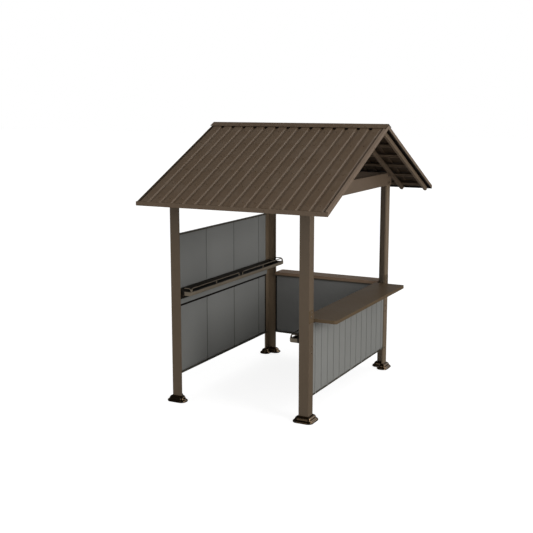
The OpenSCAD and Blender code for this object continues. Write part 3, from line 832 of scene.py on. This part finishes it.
trimInset = shadeStripsAndPlugs["trimEdge"] + shadeStripsAndPlugs["trim"]
for side, sideName in ((-1, "Front"), (1, "Back")):
    for x, endName in ((roofX0 + trimInset, "Left"), (roofX1 - trimInset, "Right")):
        slopeShadeStrip("trimSeal" + sideName + endName, side, x, capWing,
                  slopeLength - shadeStripsAndPlugs["eaveGap"], shadeStripsAndPlugs["grooveFloor"], shadeStripsAndPlugs["trim"])
    # painted shade: a black strip between the bar side's edge trim and fly rafter
    slopeShadeStrip("trimLining" + sideName, side, roofX1 - shadeStripsAndPlugs["liningEdge"], shadeStripsAndPlugs["liningTop"],
              slopeLength - shadeStripsAndPlugs["liningEnd"], shadeStripsAndPlugs["liningLevel"], shadeStripsAndPlugs["lining"])

# foam plugs in the grooves at the ridge cap's edge; their near black also stands for the shade in
# the cap's notches
fasten("capPlugs", "foamPlug", [
    (onSlope(side, grooveX(k), capWing - shadeStripsAndPlugs["plugInset"], shadeStripsAndPlugs["plugLevel"]), slopeNormal(side))
    for side in (-1, 1) for k in range(1, roof["flats"])
], "sealAndShadePaint", 0.0)
print("seams and seals made")


# Floor, light and camera

studio = {
    "floorReach": 60, "floorSeen": (0.32, 0.32, 0.32, 1), "floorGlow": 0.84,
    "floorLit": (0.75, 0.74, 0.72, 1), "floorMirrored": (0.05, 0.05, 0.05, 1),
    "floorRough": 0.9, "floorShine": 0.1,
    "ambient": 0.70, "mirrored": 0.04,
    "backdrop": 0.34, "away": (-0.456, 0.890, 0.0), "backdropEdges": (0.0, 0.7),
    "highEdges": (0.25, 0.70),
    "panel": (0.58, 0.55, 0.60), "panelGlow": 2.0, "panelEdges": (0.78, 0.96),
    "keyPlace": (9.5, -3.2, 3.9), "keySize": 3.6, "keyPower": 440.0,
    "fillPlace": (-1.5, -10.0, 2.6), "fillSize": 5.0, "fillPower": 75.0,
    "aim": (0.1, 0.0, 1.2),
}


def glowingFloor():
    # the floor glows for the camera alone, is pale for soft light and dark in reflections
    m = bpy.data.materials.new("floorWhite")
    m.use_nodes = True
    tree = m.node_tree
    shader = tree.nodes["Principled BSDF"]
    path = tree.nodes.new("ShaderNodeLightPath").outputs
    colour = blendColour(tree, path["Is Camera Ray"], studio["floorLit"], studio["floorSeen"])
    colour = blendColour(tree, path["Is Glossy Ray"], colour, studio["floorMirrored"])
    tree.links.new(colour, shader.inputs["Base Color"])
    shader.inputs["Roughness"].default_value = studio["floorRough"]
    shader.inputs["Specular IOR Level"].default_value = studio["floorShine"]
    shader.inputs["Emission Color"].default_value = (1, 1, 1, 1)
    glow = calc(tree, "MULTIPLY", path["Is Camera Ray"], studio["floorGlow"])
    tree.links.new(glow, shader.inputs["Emission Strength"])
    return m


floorMesh = bpy.data.meshes.new("floor")
far = studio["floorReach"]
floorMesh.from_pydata(
    [(-far, -far, 0), (far, -far, 0), (far, far, 0), (-far, far, 0)], [], [(0, 1, 2, 3)])
floor = newObject("floor", floorMesh)
floorMesh.materials.append(glowingFloor())


def paintSky(sky):
    # white where it is seen and even for soft light; reflections see a dark room with a pale
    # backdrop and one bright panel
    path = sky.nodes.new("ShaderNodeLightPath").outputs
    direction = sky.nodes.new("ShaderNodeTexCoord").outputs["Generated"]

    def toward(place):
        n = sky.nodes.new("ShaderNodeVectorMath")
        n.operation = "DOT_PRODUCT"
        sky.links.new(direction, n.inputs[0])
        n.inputs[1].default_value = place
        return n.outputs["Value"]

    high = remap(sky, splitAxes(sky, direction)["Z"], studio["highEdges"])
    low = calc(sky, "SUBTRACT", 1.0, high)
    away = remap(sky, toward(studio["away"]), studio["backdropEdges"])
    backdrop = calc(sky, "MULTIPLY", calc(sky, "MULTIPLY", away, low),
                    studio["backdrop"] - studio["mirrored"])
    panel = calc(sky, "MULTIPLY", remap(sky, toward(studio["panel"]), studio["panelEdges"]),
                 studio["panelGlow"])
    # each kind of ray adds what it sees over the even soft light
    mirrored = calc(sky, "ADD", calc(sky, "ADD", backdrop, panel),
                    studio["mirrored"] - studio["ambient"])
    mirrored = calc(sky, "MULTIPLY", path["Is Glossy Ray"], mirrored)
    seen = calc(sky, "MAXIMUM", path["Is Camera Ray"], path["Is Transmission Ray"])
    seen = calc(sky, "MULTIPLY", seen, 1.0 - studio["ambient"])
    strength = calc(sky, "ADD", calc(sky, "ADD", seen, studio["ambient"]), mirrored)
    sky.nodes["Background"].inputs["Color"].default_value = (1, 1, 1, 1)
    sky.links.new(strength, sky.nodes["Background"].inputs["Strength"])


world = bpy.data.worlds.new("studio")
bpy.context.scene.world = world
world.use_nodes = True
paintSky(world.node_tree)


def softLight(name, place, size, power):
    data = bpy.data.lights.new(name, "AREA")
    data.shape = "SQUARE"
    data.size = size
    data.energy = power
    lamp = newObject(name, data)
    lamp.location = place
    aim = Vector(studio["aim"]) - Vector(place)
    lamp.rotation_euler = aim.to_track_quat("-Z", "Y").to_euler()
    lamp.visible_camera = False


softLight("key", studio["keyPlace"], studio["keySize"], studio["keyPower"])
softLight("fill", studio["fillPlace"], studio["fillSize"], studio["fillPower"])

view = {
    "lens": 63.15, "sensor": 36.0, "far": 200,
    "place": (3.9463, -8.1285, 2.7911), "down": 0.1763, "turn": 0.4734,
}
lens = bpy.data.cameras.new("camera")
lens.lens = view["lens"]
lens.sensor_width = view["sensor"]
lens.clip_end = view["far"]
camera = newObject("camera", lens)
camera.location = view["place"]
camera.rotation_euler = (math.pi / 2 - view["down"], 0, view["turn"])
bpy.context.scene.camera = camera
bpy.context.scene.view_settings.view_transform = "Standard"
print("studio made")
